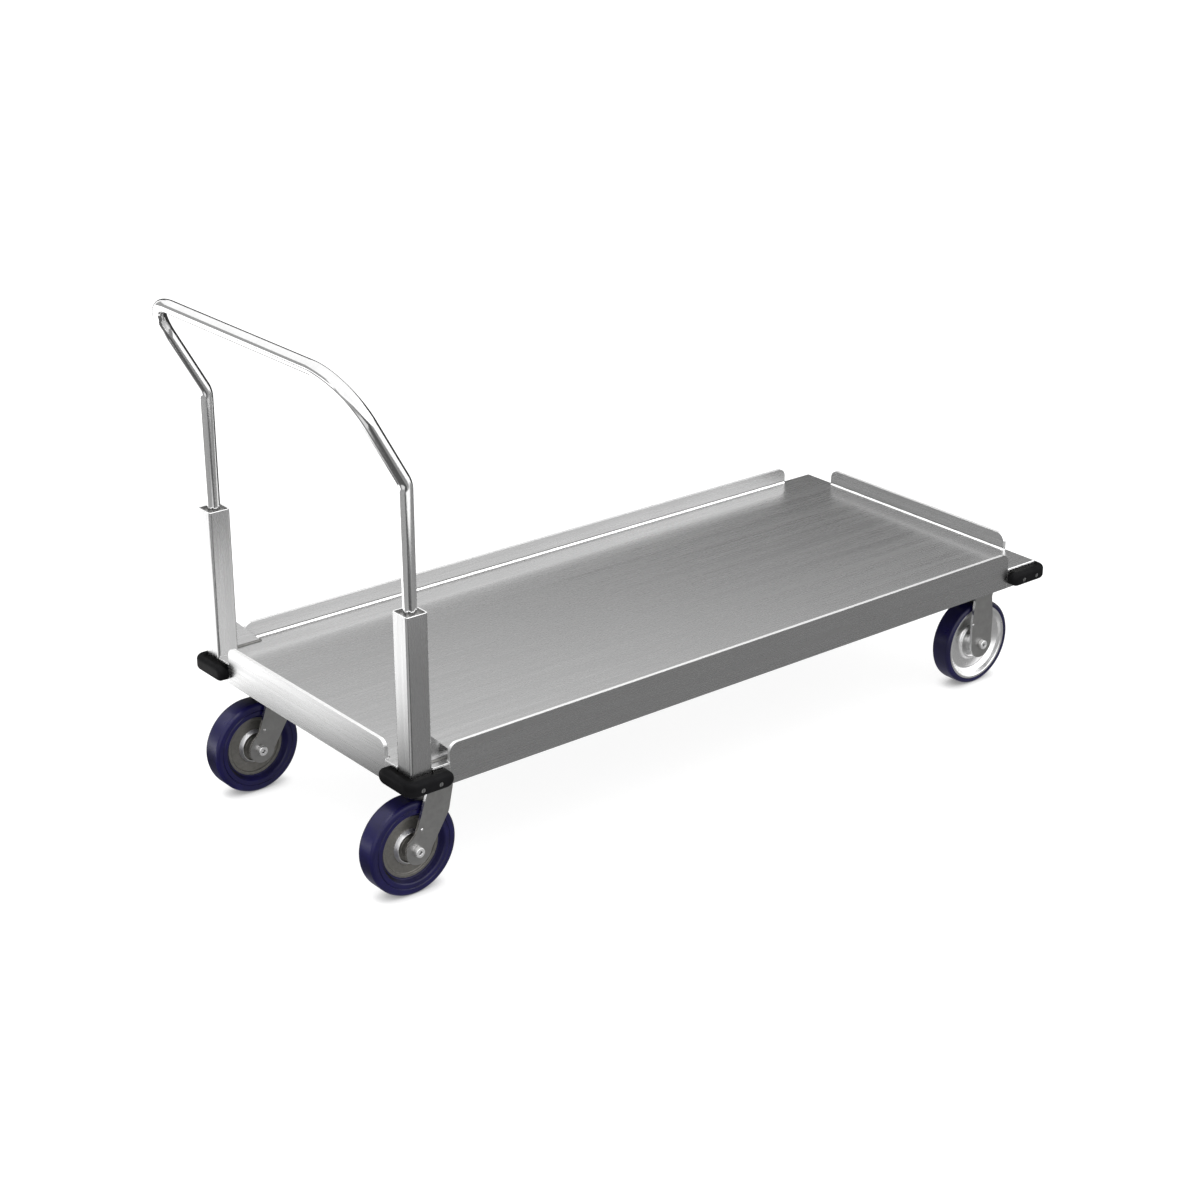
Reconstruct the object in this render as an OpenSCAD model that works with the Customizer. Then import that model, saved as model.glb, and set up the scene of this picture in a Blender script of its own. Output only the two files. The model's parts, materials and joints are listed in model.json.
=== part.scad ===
// Platform cart with a lift-out push handle, two swivel casters and two fixed casters.
// +X points away from the handle, +Y to the left, +Z up; the floor is at z = 0.

/* [Deck] */
// Length of the deck
deck_l = 1760; // [1300:10:2200]
// Width of the deck
deck_w = 760; // [640:10:900]
// Thickness of the deck sheet
deck_t = 3; // [2:0.5:5]
// Open length at each corner, from the corner to the end of a rail
corner_open = 90; // [80:1:110]
// Height of the channels between the deck sheet and the casters
channel_h = 33; // [28:1:50]

/* [Rails] */
// Height of the rails above the deck
rail_lip = 38; // [25:1:60]
// Depth of the rails and the corner skirts below the deck's top face
rail_drop = 47; // [42:1:52]
// Thickness of the rails
rail_t = 8; // [6:0.5:10]
// Radius of the rails' upper corners
rail_r = 20; // [10:1:24]
// Thickness of the corner skirts
skirt_t = 5; // [3:0.5:6]

/* [Posts] */
// Width of the square posts
post_w = 50; // [46:1:50]
// Wall of the posts
post_t = 3; // [2:0.5:4]
// Outer corner radius of the posts
post_r = 6.5; // [5:0.5:8]
// Height of the posts above the deck
post_h = 325; // [250:5:400]
// Height and length of the gussets at the feet of the posts
gusset_s = 69; // [40:1:90]
// Thickness of the gussets
gusset_t = 5; // [3:1:8]

/* [Handle] */
// Outer diameter of the handle tube
tube_d = 28; // [25:1:32]
// Wall of the handle tube
tube_t = 2; // [1.5:0.5:3]
// Height of the knee, where the tube starts to lean back, above the deck
knee_h = 579; // [480:1:640]
// Height of the crossbar above the deck
crossbar_h = 800; // [740:2:900]
// Angle by which the upper part leans back
lean = 29.556; // [20:0.001:40]
// Bend radius at the knee
knee_r = 48; // [40:1:80]
// Bend radius at the corners of the crossbar
grip_r = 105; // [60:1:120]
// Depth to which the tube stands in the posts
insert_depth = 175; // [100:5:220]

/* [Bumpers] */
// Height of the corner bumpers
bumper_h = 34; // [24:1:38]
// Thickness of the corner bumpers
bumper_t = 22; // [10:1:28]
// Length of each bumper leg from the corner
bumper_leg = 88; // [70:1:90]

/* [Casters] */
// Distance of the caster axes from the deck's sides
caster_in = 90; // [90:1:120]
// Distance of the swivel axes and of the fixed axles from the deck's ends
caster_end = 105; // [105:1:140]
// Trail of the swivel casters
trail = 60; // [50:1:64]
// Overall height of the casters
caster_h = 267; // [262:1:275]

/* [Hidden] */
$fn = 64;

// Sides of the cart
right = -1;
left = 1;

// Heights above the floor
deck_z = caster_h + channel_h + deck_t;
sheet_z = deck_z - deck_t;
skirt_z = deck_z - rail_drop;

// The origin is below the middle of the whole cart, handle and bumpers included
handle_back = (crossbar_h - knee_h) * tan(lean) - post_w / 2;
origin_in = (deck_l + bumper_t - handle_back - tube_d / 2) / 2;
rear_x = -origin_in;
front_x = deck_l - origin_in;
side_y = deck_w / 2;
post_x = rear_x + post_w / 2;
post_y = side_y - post_w / 2;

// Fit of a running pin or tube in its bore, on the radius
run_fit = 0.05;
// Clearance of moving parts that don't guide each other
clear = 0.3;
// Length by which a cut passes the face it cuts
over = 1;

// Fastener sizes
bolt_d = 10;
bolt_hex = 19.6;
bolt_head_h = 6.5;
nut_h = 8;
bolt_tip = 2;
bolt_dx = 33;
bolt_dy = 46;
screw_d = 5;
screw_head_d = 10;
screw_at = [12, 54];
screw_head_h = 2.5;
screw_slot_w = 1.4;
screw_slot_h = 1;
screw_sunk = 3.5;
screw_drop = 28;
screw_z = deck_z - screw_drop;
bumper_drop = 8;
bumper_z = deck_z - bumper_drop - bumper_h;

// Posts and the pieces in them
post_top = deck_z + post_h;
insert_z = post_top - insert_depth;
guide_h = 8;
guide_drop = 6;
socket_floor = 8;
socket_cup = 15;
plug_ease = 1.5;
plug_r = post_r - post_t + plug_ease;

// Caster sizes
wheel_d = 203.2;
axle_z = wheel_d / 2;
tread_w = 50;
hub_l = 60;
fork_gap = 62;
leg_t = 6;
plate_x = 102;
plate_y = 114;
plate_h = 8;
plate_r = 8;
plate_z = caster_h - plate_h;
crown_z = 229;
crown_h = 8;
crown_x = 60;
race_r = 31;
race_z = 249.5;
race_gap = 4;
ball_d = 8;
ball_count = 18;
head_d = 80;
kingpin_d = 16;
kingpin_hex = 27;
kingpin_nut_h = 12;
kingpin_gap = 0.5;
axle_d = 12.7;
axle_hole = 13;
axle_end_d = 21;
axle_end_l = 10;
axle_socket_d = 8.5;
axle_socket_l = 6;
bushing_d = 19;
bearing_d = 30;
bearing_l = 54;
rear_core_r = 66;
front_core_r = 90;

// Fork legs: outlines in X and Z
lobe_r = 30;
lobe_in = 3;
swivel_leg_front = [[27, 216], [17, 168]];
swivel_leg_back = [[-80, 122], [-63, 138], [-35, 218]];
swivel_leg_head = [-32, 30];
fixed_leg_head = 40;
fixed_leg_waist = [28, 215];
fixed_leg_shoulder = [34, 165];
fixed_lobe_r = 33;

// Wheel cores: radii and half widths of the hub, the sunk ring, the raised ring, the web and the rim
rear_hub_r = 22;
rear_sink = [32, 12];
rear_ring = [33.5, 38, 17];
rear_web = [40, 58, 8];
rear_rim = [60, 12];
front_hub_r = 23;
front_sink = [36, 11];
front_ring = [37.5, 42, 15];
front_web = [[45, 8], [70, 6], [80, 14]];
front_rim = [84, 24];

// Treads: points of the side from the core outwards
rear_side = [[69, 12], [74, 23], [76, 25], [84, 25], [85.5, 23], [87, 25], [94, 25], [97.5, 24]];
front_side = [[95.5, 25], [98.5, 23.8]];
shoulder = [100.5, 21.5];
tread_flat = 36;

swivel_x = rear_x + caster_end;
rear_axle_x = swivel_x - trail;
front_axle_x = front_x - caster_end;
caster_y = side_y - caster_in;

// Under-deck members
channel_w = 100;
channel_t = 4;
channel_half = side_y - rail_t;
stiffener_w = 40;
stiffener_t = 3;
stiffener_pitch = 200;

// ---------- helpers ----------

// A square outline with true round corners
module round_square(w, d, r) {
    square([w - 2 * r, d], center = true);
    square([w, d - 2 * r], center = true);
    for (x = [-1, 1], y = [-1, 1])
        translate([x * (w / 2 - r), y * (d / 2 - r)])
            circle(r = r);
}

// A flat bar along +X from the origin, standing on z = 0, with round upper corners
module rail_bar(l) {
    h = rail_lip + rail_drop;
    rotate([90, 0, 0])
        translate([0, 0, -rail_t])
            linear_extrude(rail_t) {
                square([l, h - rail_r]);
                translate([rail_r, 0])
                    square([l - 2 * rail_r, h]);
                for (x = [rail_r, l - rail_r])
                    translate([x, h - rail_r])
                        circle(r = rail_r);
            }
}

// Turns a part drawn about +Z so that its axis lies along +Y
module along_y() {
    rotate([-90, 0, 0])
        children();
}

// A lathe part that is the same on both sides of its middle, from the points of its +Z half
module lathe(half) {
    n = len(half);
    mirrored = [for (i = [n - 1:-1:0]) [half[i][0], -half[i][1]]];
    rotate_extrude()
        polygon(concat(half, mirrored));
}

// A U channel along +X from the origin, its web down, its middle on y = 0
module channel(l, w, h, t) {
    translate([0, -w / 2, 0])
        difference() {
            cube([l, w, h]);
            translate([-over, t, t])
                cube([l + 2 * over, w - 2 * t, h]);
        }
}

// Both casters of one end: places a part at the axis x on each side
module both_sides(x) {
    for (s = [right, left])
        translate([x, s * caster_y, 0])
            children();
}

// The four bolt places of one caster plate
module bolt_places() {
    for (x = [-bolt_dx, bolt_dx], y = [-bolt_dy, bolt_dy])
        translate([x, y, 0])
            children();
}

// ---------- deck ----------

module deck_plate() {
    rail_l = deck_l - 2 * corner_open;
    rail_w = deck_w - 2 * corner_open;
    color("#a9aaa8")
        translate([0, 0, sheet_z])
            linear_extrude(deck_t)
                difference() {
                    translate([rear_x, -side_y])
                        square([deck_l, deck_w]);
                    for (s = [right, left]) {
                        translate([rear_x + corner_open, s * side_y - rail_t])
                            square([rail_l, 2 * rail_t]);
                        translate([rear_x - over, s * side_y - post_w])
                            square([post_w + over, 2 * post_w]);
                        translate([rear_x + post_w - over, s * post_y - gusset_t / 2])
                            square([gusset_s + over, gusset_t]);
                    }
                    for (x = [rear_x, front_x])
                        translate([x - rail_t, -rail_w / 2])
                            square([2 * rail_t, rail_w]);
                }
}

module side_rail(s) {
    y = s == right ? -side_y : side_y - rail_t;
    color(s == right ? "#7c7d7c" : "#bdbebc")
        translate([rear_x + corner_open, y, skirt_z])
            rail_bar(deck_l - 2 * corner_open);
}

module end_rail(x) {
    l = deck_w - 2 * corner_open;
    color("#d6d7d5")
        translate([x + rail_t, -l / 2, skirt_z])
            rotate([0, 0, 90])
                rail_bar(l);
}

// Two strips that close the deck's edge beside a post
module rear_skirt(s) {
    h = sheet_z - skirt_z;
    l = corner_open - post_w;
    color("#9a9b9a")
        translate([rear_x, s * side_y, skirt_z])
            on_side(s) {
                difference() {
                    translate([post_w, -skirt_t, 0])
                        cube([l, skirt_t, h]);
                    skirt_screw_holes();
                }
                translate([0, -corner_open, 0])
                    cube([skirt_t, l, h]);
            }
}

// An angle that closes the deck's edge at a front corner
module front_skirt(s) {
    h = sheet_z - skirt_z;
    color("#9a9b9a")
        translate([front_x, s * side_y, skirt_z])
            mirror([1, 0, 0])
                on_side(s)
                    difference() {
                        translate([0, -corner_open, 0])
                            cube([corner_open, corner_open, h]);
                        translate([skirt_t, -corner_open - over, -over])
                            cube([corner_open, corner_open + over - skirt_t, h + 2 * over]);
                        skirt_screw_holes();
                    }
}

// Draws a left-hand part as it is, and a right-hand part as its mirror image
module on_side(s) {
    mirror([0, s == right ? 1 : 0, 0])
        children();
}

// Screw holes through a skirt or a post wall, seen from the deck's corner
module skirt_screw_holes() {
    for (x = screw_at)
        translate([x, over, screw_z - skirt_z])
            rotate([90, 0, 0])
                cylinder(d = screw_d, h = skirt_t + 2 * over);
}

module cross_channel(x) {
    color("#8f9090")
        translate([x, -channel_half, caster_h])
            rotate([0, 0, 90])
                difference() {
                    channel(2 * channel_half, channel_w, channel_h, channel_t);
                    for (y = [-caster_y, caster_y])
                        translate([channel_half + y, 0, 0])
                            rotate([0, 0, 90])
                                bolt_places()
                                    translate([0, 0, -over])
                                        cylinder(d = bolt_d, h = channel_t + 2 * over);
                }
}

module stiffeners() {
    x = swivel_x + channel_w / 2;
    color("#8f9090")
        for (y = [-stiffener_pitch, 0, stiffener_pitch])
            translate([x, y, caster_h])
                channel(front_axle_x - channel_w / 2 - x, stiffener_w, channel_h, stiffener_t);
}

// ---------- posts ----------

module post(s) {
    color("#b4b5b4")
        difference() {
            translate([post_x, s * post_y, skirt_z])
                linear_extrude(post_top - skirt_z)
                    difference() {
                        round_square(post_w, post_w, post_r);
                        round_square(post_w - 2 * post_t, post_w - 2 * post_t, post_r - post_t);
                    }
            translate([rear_x, s * side_y, skirt_z])
                on_side(s)
                    skirt_screw_holes();
        }
}

module gusset(s) {
    color("#b0b1b0")
        translate([rear_x + post_w, s * post_y + gusset_t / 2, deck_z])
            rotate([90, 0, 0])
                linear_extrude(gusset_t)
                    polygon([[0, -deck_t], [gusset_s, -deck_t], [gusset_s, 0], [0, gusset_s]]);
}

// The outline that fills a post's inside, clear of its inner corners
module post_plug(h) {
    w = post_w - 2 * post_t;
    linear_extrude(h)
        round_square(w, w, plug_r);
}

// Plate in the top of a post that guides the handle tube
module post_guide(s) {
    color("#8a8b8a")
        translate([post_x, s * post_y, post_top - guide_drop - guide_h])
            difference() {
                post_plug(guide_h);
                translate([0, 0, -over])
                    cylinder(r = tube_d / 2 + run_fit, h = guide_h + 2 * over);
            }
}

// Blind cup inside a post that the end of the handle tube stands in
module handle_socket(s) {
    color("#8a8b8a")
        translate([post_x, s * post_y, insert_z - socket_floor])
            difference() {
                post_plug(socket_floor + socket_cup);
                translate([0, 0, socket_floor])
                    cylinder(r = tube_d / 2 + run_fit, h = socket_cup + over);
            }
}

// ---------- handle ----------

// A straight length of the handle tube along +Z from the origin
module tube_straight(l) {
    linear_extrude(l)
        tube_section();
}

// A bend of the handle tube, starting at (r, 0) and turning from +X towards +Y
module tube_bend(r, angle, turned = 0) {
    rotate_extrude(angle = angle)
        translate([r, 0])
            rotate(turned)
                tube_section();
}

module tube_section() {
    difference() {
        circle(d = tube_d);
        circle(d = tube_d - 2 * tube_t);
    }
}

module handle_tube() {
    knee_in = knee_r * tan(lean / 2);
    riser = knee_h - knee_in - (post_h - insert_depth);
    run = (crossbar_h - knee_h) / cos(lean) - knee_in - grip_r;
    color("#c9cac9")
        for (m = [0, 1])
            mirror([0, m, 0])
                translate([post_x - knee_r, post_y, insert_z]) {
                    translate([knee_r, 0, 0])
                        tube_straight(riser);
                    translate([0, 0, riser]) {
                        rotate([90, 0, 0])
                            tube_bend(knee_r, lean);
                        rotate([0, -lean, 0])
                            translate([knee_r, 0, 0]) {
                                tube_straight(run);
                                translate([0, -grip_r, run]) {
                                    rotate([90, 0, 90])
                                        tube_bend(grip_r, 90, 90);
                                    translate([0, grip_r - post_y, grip_r])
                                        along_y()
                                            tube_straight(post_y - grip_r);
                                }
                            }
                    }
                }
}

// ---------- bumpers ----------

// One bumper seen from the deck's corner: legs along +X and -Y, outer faces at -X and +Y
module bumper_shape() {
    end = bumper_leg - bumper_h / 2;
    difference() {
        union() {
            linear_extrude(bumper_h) {
                square([end, bumper_t]);
                translate([-bumper_t, -end])
                    square([bumper_t, end]);
                intersection() {
                    circle(r = bumper_t);
                    translate([-bumper_t, 0])
                        square(bumper_t);
                }
            }
            translate([end, 0, bumper_h / 2])
                along_y()
                    cylinder(d = bumper_h, h = bumper_t);
            translate([-bumper_t, -end, bumper_h / 2])
                rotate([0, 90, 0])
                    cylinder(d = bumper_h, h = bumper_t);
        }
        for (x = screw_at)
            translate([x, 0, screw_z - bumper_z]) {
                translate([0, -over, 0])
                    along_y()
                        cylinder(d = screw_d, h = bumper_t + 2 * over);
                translate([0, bumper_t - screw_sunk, 0])
                    along_y()
                        cylinder(d = screw_head_d, h = bumper_t);
            }
    }
}

module bumper(x, s) {
    color("#1d1d1e")
        translate([x, s * side_y, bumper_z])
            mirror([x == front_x ? 1 : 0, 0, 0])
                on_side(s)
                    bumper_shape();
}

// A slotted screw along +Y, its shank starting in the skirt behind the bumper
module bumper_screw() {
    shank_l = post_t + bumper_t - screw_sunk;
    along_y()
        difference() {
            union() {
                cylinder(d = screw_d, h = shank_l);
                translate([0, 0, shank_l])
                    cylinder(d = screw_head_d, h = screw_head_h);
            }
            translate([-screw_slot_w / 2, -screw_head_d, shank_l + screw_head_h - screw_slot_h])
                cube([screw_slot_w, 2 * screw_head_d, screw_head_h]);
        }
}

module bumper_screws() {
    color("#c4c4c2")
        for (x = [rear_x, front_x], s = [right, left])
            translate([x, s * side_y, screw_z])
                mirror([x == front_x ? 1 : 0, 0, 0])
                    on_side(s)
                        for (at = screw_at)
                            translate([at, -post_t, 0])
                                bumper_screw();
}

// ---------- casters ----------

module caster_bolts() {
    color("#c0c0be")
        for (x = [swivel_x, front_axle_x])
            both_sides(x)
                bolt_places() {
                    translate([0, 0, plate_z - bolt_head_h])
                        cylinder(d = bolt_hex, h = bolt_head_h, $fn = 6);
                    translate([0, 0, plate_z - over])
                        cylinder(d = bolt_d, h = over + plate_h + channel_t + nut_h + bolt_tip);
                }
}

module caster_nuts() {
    color("#c0c0be")
        for (x = [swivel_x, front_axle_x])
            both_sides(x)
                bolt_places()
                    translate([0, 0, caster_h + channel_t])
                        difference() {
                            cylinder(d = bolt_hex, h = nut_h, $fn = 6);
                            translate([0, 0, -over])
                                cylinder(d = bolt_d, h = nut_h + 2 * over);
                        }
}

// Top plate of a caster with its four bolt holes
module mount_plate() {
    difference() {
        translate([0, 0, plate_z])
            linear_extrude(plate_h)
                round_square(plate_x, plate_y, plate_r);
        bolt_places()
            translate([0, 0, plate_z - over])
                cylinder(d = bolt_d, h = plate_h + 2 * over);
    }
}

// The ring-shaped groove that the swivel balls run in
module ball_groove() {
    translate([0, 0, race_z])
        rotate_extrude()
            translate([race_r, 0])
                circle(d = ball_d + 2 * clear);
}

module swivel_plate(s) {
    race_low = race_z + race_gap / 2;
    color("#a3a4a2")
        translate([swivel_x, s * caster_y, 0])
            difference() {
                union() {
                    mount_plate();
                    translate([0, 0, race_low])
                        cylinder(d = head_d, h = plate_z - race_low + over);
                }
                ball_groove();
                translate([0, 0, crown_z])
                    cylinder(d = kingpin_d, h = caster_h);
            }
}

module swivel_balls() {
    color("#d8d8d8")
        both_sides(swivel_x)
            for (i = [0:ball_count - 1])
                rotate([0, 0, i * 360 / ball_count])
                    translate([race_r, 0, race_z])
                        sphere(d = ball_d);
}

module kingpins() {
    low = crown_z - kingpin_gap - kingpin_nut_h;
    color("#9fa09e")
        both_sides(swivel_x)
            translate([0, 0, low])
                cylinder(d = kingpin_d, h = caster_h - low);
}

module kingpin_nuts() {
    color("#c0c0be")
        both_sides(swivel_x)
            translate([0, 0, crown_z - kingpin_gap - kingpin_nut_h])
                difference() {
                    cylinder(d = kingpin_hex, h = kingpin_nut_h, $fn = 6);
                    translate([0, 0, -over])
                        cylinder(d = kingpin_d, h = kingpin_nut_h + 2 * over);
                }
}

// Two upright legs, from a flat outline in X and Z, on both sides of a wheel
module fork_legs() {
    for (y = [-fork_gap / 2, fork_gap / 2 + leg_t])
        translate([0, y, 0])
            rotate([90, 0, 0])
                linear_extrude(leg_t)
                    children();
}

// Swivel leg: slants back from the crown to a round lobe about the axle
module swivel_leg() {
    top = crown_z + crown_h;
    lobe_x = lobe_in - trail;
    head = [[swivel_leg_head[0], top], [swivel_leg_head[1], top]];
    lobe = [[lobe_x + lobe_r, axle_z], [lobe_x, axle_z]];
    difference() {
        union() {
            polygon(concat(head, swivel_leg_front, lobe, swivel_leg_back));
            translate([lobe_x, axle_z])
                circle(r = lobe_r);
        }
        translate([-trail, axle_z])
            circle(d = axle_hole);
    }
}

// Fixed leg: stands straight below the plate and widens to a round lobe about the axle
module fixed_leg() {
    half = [[fixed_leg_head, plate_z + over], fixed_leg_waist, fixed_leg_shoulder, [fixed_lobe_r, axle_z]];
    other = [for (i = [len(half) - 1:-1:0]) [-half[i][0], half[i][1]]];
    difference() {
        union() {
            polygon(concat(half, other));
            translate([0, axle_z])
                circle(r = fixed_lobe_r);
        }
        translate([0, axle_z])
            circle(d = axle_hole);
    }
}

module swivel_fork(s) {
    outer = fork_gap + 2 * leg_t;
    race_high = race_z - race_gap / 2;
    color("#868786")
        translate([swivel_x, s * caster_y, 0])
            difference() {
                union() {
                    fork_legs()
                        swivel_leg();
                    translate([-crown_x / 2, -outer / 2, crown_z])
                        cube([crown_x, outer, crown_h]);
                    translate([0, 0, crown_z])
                        cylinder(d = head_d, h = race_high - crown_z);
                }
                ball_groove();
                translate([0, 0, crown_z - over])
                    cylinder(r = kingpin_d / 2 + run_fit, h = plate_z - crown_z);
            }
}

module fixed_fork(s) {
    color("#868786")
        translate([front_axle_x, s * caster_y, 0]) {
            mount_plate();
            intersection() {
                fork_legs()
                    fixed_leg();
                translate([-plate_x / 2, -plate_y / 2, 0])
                    cube([plate_x, plate_y, plate_z]);
            }
        }
}

// Axle bolt: round head with a socket at +Y, its shank passing both legs
module axle_bolt() {
    face = fork_gap / 2 + leg_t;
    along_y()
        difference() {
            union() {
                translate([0, 0, -face - axle_end_l / 2])
                    cylinder(d = axle_d, h = 2 * face + axle_end_l / 2 + over);
                translate([0, 0, face])
                    cylinder(d = axle_end_d, h = axle_end_l);
            }
            translate([0, 0, face + axle_end_l - axle_socket_l])
                cylinder(d = axle_socket_d, h = axle_socket_l + over);
        }
}

// Axle nut at -Y: a round nut with an open end
module axle_nut() {
    face = fork_gap / 2 + leg_t;
    along_y()
        translate([0, 0, -face - axle_end_l])
            difference() {
                cylinder(d = axle_end_d, h = axle_end_l);
                translate([0, 0, axle_end_l / 2])
                    cylinder(d = axle_d, h = axle_end_l);
                translate([0, 0, -over])
                    cylinder(d = axle_socket_d, h = axle_end_l);
            }
}

// Fixed sleeve between the fork's legs that the bearing turns on
module bushing() {
    along_y()
        translate([0, 0, -fork_gap / 2])
            difference() {
                cylinder(d = bushing_d, h = fork_gap);
                translate([0, 0, -over])
                    cylinder(d = axle_d, h = fork_gap + 2 * over);
            }
}

module bearing() {
    color("#b9b9b7")
        along_y()
            lathe([
                [bushing_d / 2 + run_fit, bearing_l / 2],
                [bearing_d / 2, bearing_l / 2]
            ]);
}

// Cast core of a swivel wheel: hub, sunk ring, flat web and rim
module rear_core() {
    color("#84857c")
        along_y()
            lathe([
                [bearing_d / 2, hub_l / 2],
                [rear_hub_r, hub_l / 2],
                [rear_hub_r, rear_sink[1]],
                rear_sink,
                [rear_ring[0], rear_ring[2]],
                [rear_ring[1], rear_ring[2]],
                [rear_web[0], rear_web[2]],
                [rear_web[1], rear_web[2]],
                rear_rim,
                [rear_core_r, rear_rim[1]]
            ]);
}

// Dished core of a fixed wheel: hub, sunk ring, thin web and wide rim
module front_core() {
    color("#b7b8b9")
        along_y()
            lathe([
                [bearing_d / 2, hub_l / 2],
                [front_hub_r, hub_l / 2],
                [front_hub_r, front_sink[1]],
                front_sink,
                [front_ring[0], front_ring[2]],
                [front_ring[1], front_ring[2]],
                each front_web,
                front_rim,
                [front_core_r, front_rim[1]]
            ]);
}

// Thick rubber tread with a moulded groove in its side
module rear_tread() {
    color("#24244a")
        along_y()
            lathe([
                [rear_core_r, rear_rim[1]],
                each rear_side,
                shoulder,
                [wheel_d / 2, tread_flat / 2]
            ]);
}

// Thin tread of a fixed wheel
module front_tread() {
    color("#1c1c3c")
        along_y()
            lathe([
                [front_core_r, tread_w / 2],
                each front_side,
                shoulder,
                [wheel_d / 2, tread_flat / 2]
            ]);
}

// One wheel piece at the place of a rear or front wheel
module at_rear_wheel(s) {
    translate([rear_axle_x, s * caster_y, axle_z])
        children();
}

module at_front_wheel(s) {
    translate([front_axle_x, s * caster_y, axle_z])
        children();
}

module front_axles() {
    for (s = [right, left])
        color("#d2d2d0")
            at_front_wheel(s)
                axle_bolt();
}

module front_axle_nuts() {
    for (s = [right, left])
        color("#d2d2d0")
            at_front_wheel(s)
                axle_nut();
}

module front_bushings() {
    for (s = [right, left])
        color("#9c9c9a")
            at_front_wheel(s)
                bushing();
}

module rear_axle(s) {
    color("#d2d2d0")
        at_rear_wheel(s)
            axle_bolt();
}

module rear_axle_nut(s) {
    color("#d2d2d0")
        at_rear_wheel(s)
            axle_nut();
}

module rear_bushing(s) {
    color("#9c9c9a")
        at_rear_wheel(s)
            bushing();
}

// ---------- the cart ----------

deck_plate();
side_rail(right);  // rail_right
side_rail(left);  // rail_left
end_rail(rear_x);  // rail_rear
end_rail(front_x - rail_t);  // rail_front
rear_skirt(right);  // skirt_rear_right
rear_skirt(left);  // skirt_rear_left
front_skirt(right);  // skirt_front_right
front_skirt(left);  // skirt_front_left
post(right);  // post_right
post(left);  // post_left
gusset(right);  // gusset_right
gusset(left);  // gusset_left
post_guide(right);  // post_guide_right
post_guide(left);  // post_guide_left
handle_socket(right);  // handle_socket_right
handle_socket(left);  // handle_socket_left
bumper(rear_x, right);  // bumper_rear_right
bumper(rear_x, left);  // bumper_rear_left
bumper(front_x, right);  // bumper_front_right
bumper(front_x, left);  // bumper_front_left
bumper_screws();
cross_channel(swivel_x);  // channel_rear
cross_channel(front_axle_x);  // channel_front
stiffeners();
caster_bolts();
caster_nuts();
swivel_plate(right);  // swivel_plate_right
swivel_plate(left);  // swivel_plate_left
kingpins();
kingpin_nuts();
swivel_balls();
swivel_fork(right);  // swivel_fork_right
swivel_fork(left);  // swivel_fork_left
fixed_fork(right);  // fixed_fork_right
fixed_fork(left);  // fixed_fork_left
rear_axle(right);  // rear_axle_right
rear_axle(left);  // rear_axle_left
front_axles();
rear_axle_nut(right);  // rear_axle_nut_right
rear_axle_nut(left);  // rear_axle_nut_left
front_axle_nuts();
rear_bushing(right);  // rear_bushing_right
rear_bushing(left);  // rear_bushing_left
front_bushings();
at_rear_wheel(right) rear_core();  // rear_core_right
at_rear_wheel(left) rear_core();  // rear_core_left
at_front_wheel(right) front_core();  // front_core_right
at_front_wheel(left) front_core();  // front_core_left
at_rear_wheel(right) rear_tread();  // rear_tread_right
at_rear_wheel(left) rear_tread();  // rear_tread_left
at_front_wheel(right) front_tread();  // front_tread_right
at_front_wheel(left) front_tread();  // front_tread_left
at_rear_wheel(right) bearing();  // rear_bearing_right
at_rear_wheel(left) bearing();  // rear_bearing_left
at_front_wheel(right) bearing();  // front_bearing_right
at_front_wheel(left) bearing();  // front_bearing_left
handle_tube();
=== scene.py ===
import json
import math

import bmesh
import bpy
from mathutils import Matrix, Vector

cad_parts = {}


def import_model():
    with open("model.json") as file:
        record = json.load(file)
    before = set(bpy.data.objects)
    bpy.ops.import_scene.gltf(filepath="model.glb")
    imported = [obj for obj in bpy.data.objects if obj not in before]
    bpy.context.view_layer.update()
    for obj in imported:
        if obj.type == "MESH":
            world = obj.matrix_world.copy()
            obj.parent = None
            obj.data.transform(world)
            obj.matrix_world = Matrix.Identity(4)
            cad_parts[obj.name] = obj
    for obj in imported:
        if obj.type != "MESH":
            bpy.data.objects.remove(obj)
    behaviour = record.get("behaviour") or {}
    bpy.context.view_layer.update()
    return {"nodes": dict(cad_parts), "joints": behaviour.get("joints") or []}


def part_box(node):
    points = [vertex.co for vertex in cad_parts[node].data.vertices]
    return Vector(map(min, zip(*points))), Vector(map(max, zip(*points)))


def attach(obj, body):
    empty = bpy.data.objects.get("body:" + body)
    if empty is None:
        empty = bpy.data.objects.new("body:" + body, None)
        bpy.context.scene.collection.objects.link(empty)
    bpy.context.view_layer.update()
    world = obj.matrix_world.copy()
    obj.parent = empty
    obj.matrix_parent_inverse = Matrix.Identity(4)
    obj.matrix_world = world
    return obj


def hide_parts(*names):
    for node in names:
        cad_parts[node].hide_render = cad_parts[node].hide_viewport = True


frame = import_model()

X, Y, Z = Vector((1, 0, 0)), Vector((0, 1, 0)), Vector((0, 0, 1))
SIDES = ("right", "left")
SIGN = {"right": -1, "left": 1}
ENDS = ("rear", "front")

# Sizes that the boxes of the CAD nodes don't give, in metres
RAIL_CORNER_R = 0.020
RAIL_EDGE_R = 0.0034
POST_WALL = 0.003
POST_CORNER_R = 0.0065
WELD = 0.0036
SMALL_WELD = 0.0015
WELD_TOE = 0.0022
RIPPLE = 0.0035
BUMPER_EDGE_R = 0.0105
SCREW_AT = (0.012, 0.054)
RECESS_R = 0.005
RECESS_DEPTH = 0.0035

# The handle: heights are above the deck
TUBE_WALL = 0.002
KNEE_R = 0.048
GRIP_R = 0.105
LEAN = math.radians(29.556)
KNEE_HEIGHT = 0.579
CROSSBAR_HEIGHT = 0.800

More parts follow.
